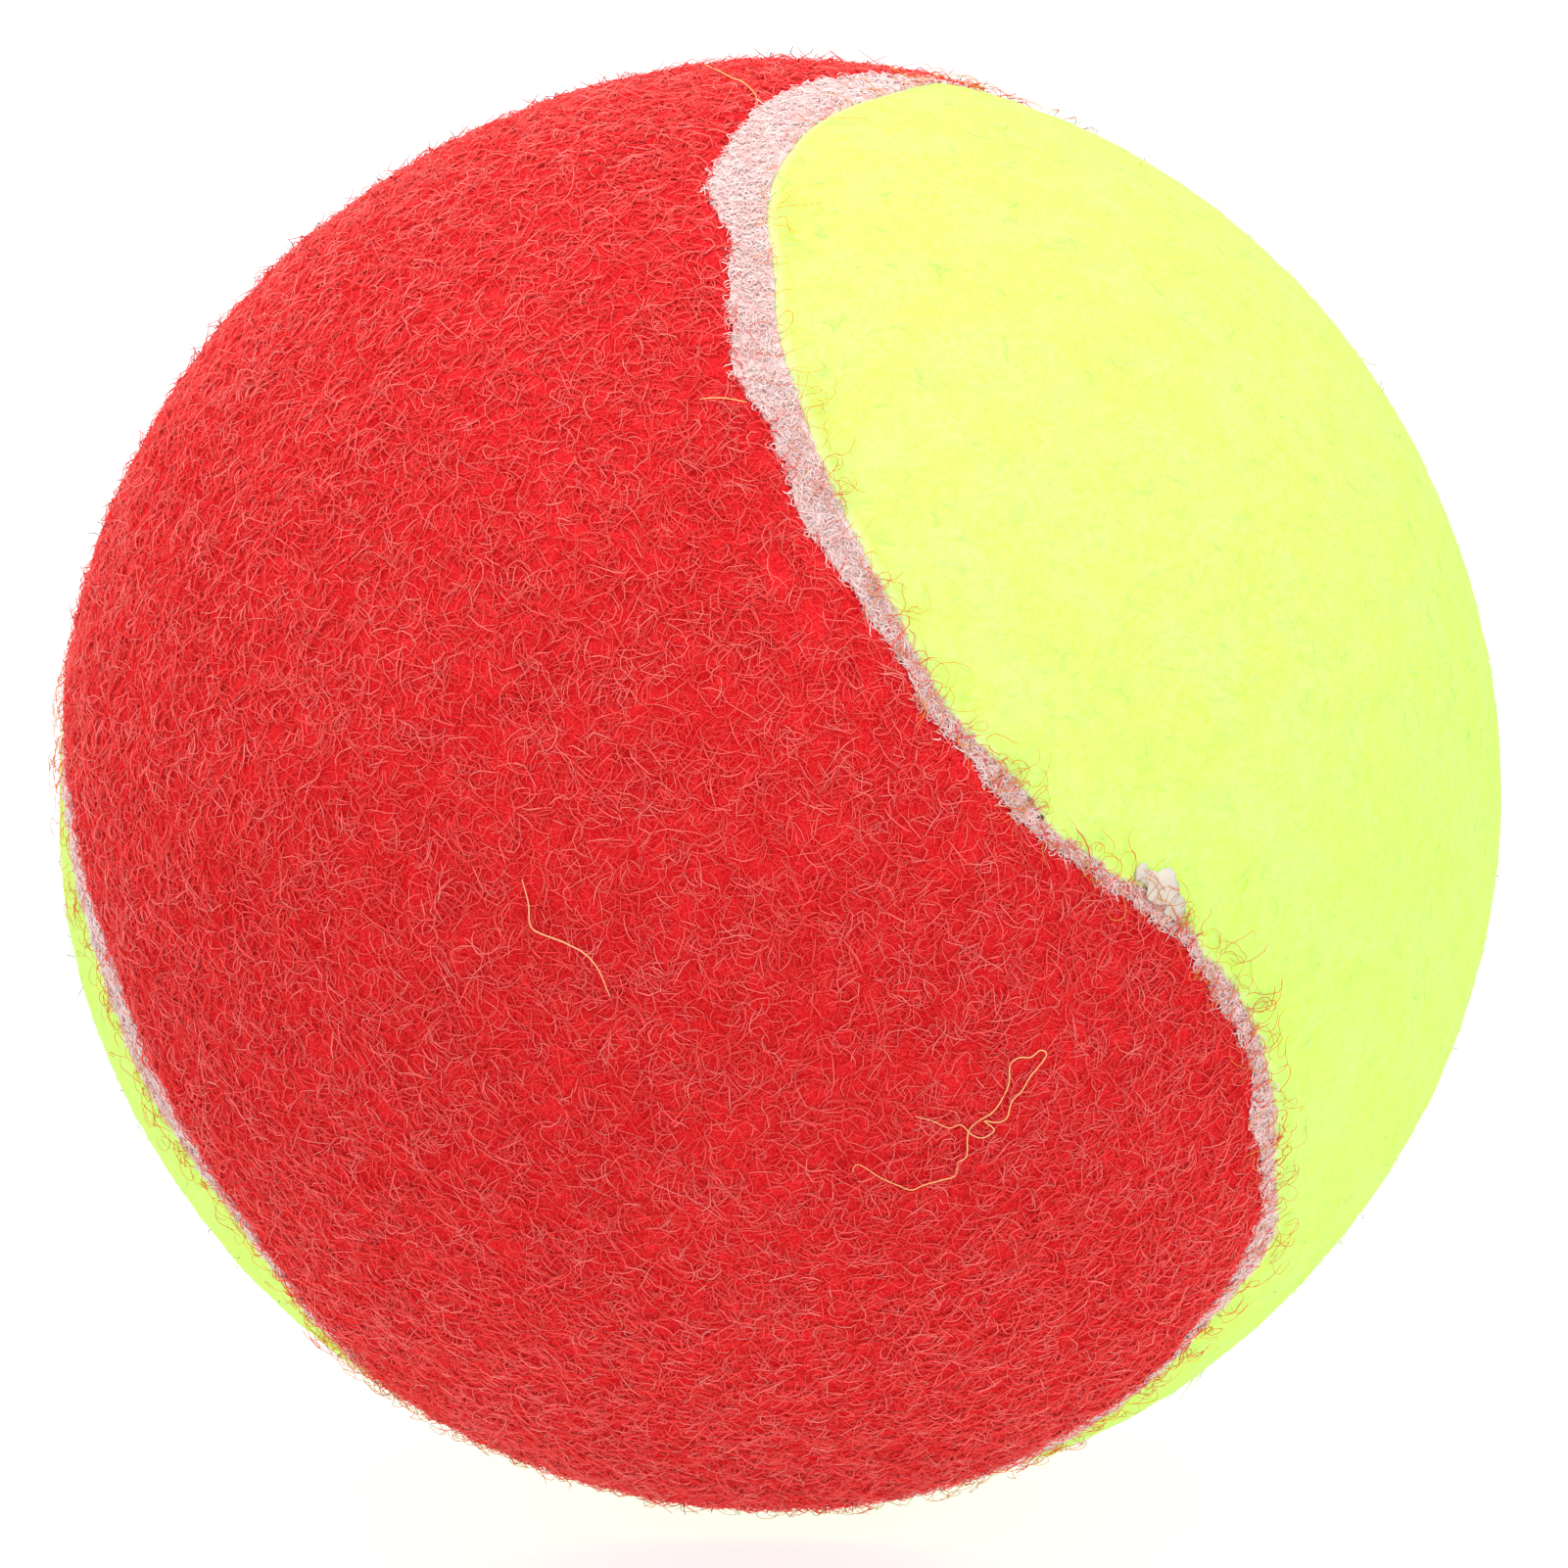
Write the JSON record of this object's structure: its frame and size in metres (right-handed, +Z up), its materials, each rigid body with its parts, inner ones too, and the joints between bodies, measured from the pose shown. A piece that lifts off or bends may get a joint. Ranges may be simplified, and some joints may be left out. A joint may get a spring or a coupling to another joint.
{
  "type": "juggling ball",
  "caption": "Hollow rubber juggling ball covered with two interlocking felt panels, one red and one yellow, that meet in a recessed white cement seam.",
  "frame": {"origin": "centre of the ball", "axes": "+Z up, square to the plane where the two core half shells meet; the middle of the red panel points to -X, -Y and +Z, and the middle of the yellow panel points the opposite way"},
  "size_m": [0.075, 0.075, 0.075],
  "materials": {
    "core_rubber": "moulded, matt",
    "core_cement": "dried rubber solution, tacky satin",
    "red_base_cloth": "plain weave",
    "yellow_base_cloth": "plain weave",
    "red_felt": "raised needle felt",
    "yellow_felt": "raised needle felt",
    "seam_cement": "matt, fuzzy with loose fibres"
  },
  "bodies": {
    "root": {"core_half_shell_upper": "core_rubber", "core_half_shell_lower": "core_rubber", "core_joint_cement": "core_cement", "core_cement_coat": "core_cement", "red_panel_back_coat": "core_cement", "red_panel_base_cloth": "red_base_cloth", "red_felt_pile": "red_felt", "red_panel_edge_cement": "seam_cement", "yellow_panel_back_coat": "core_cement", "yellow_panel_base_cloth": "yellow_base_cloth", "yellow_felt_pile": "yellow_felt", "yellow_panel_edge_cement": "seam_cement"}
  },
  "joints": []
}
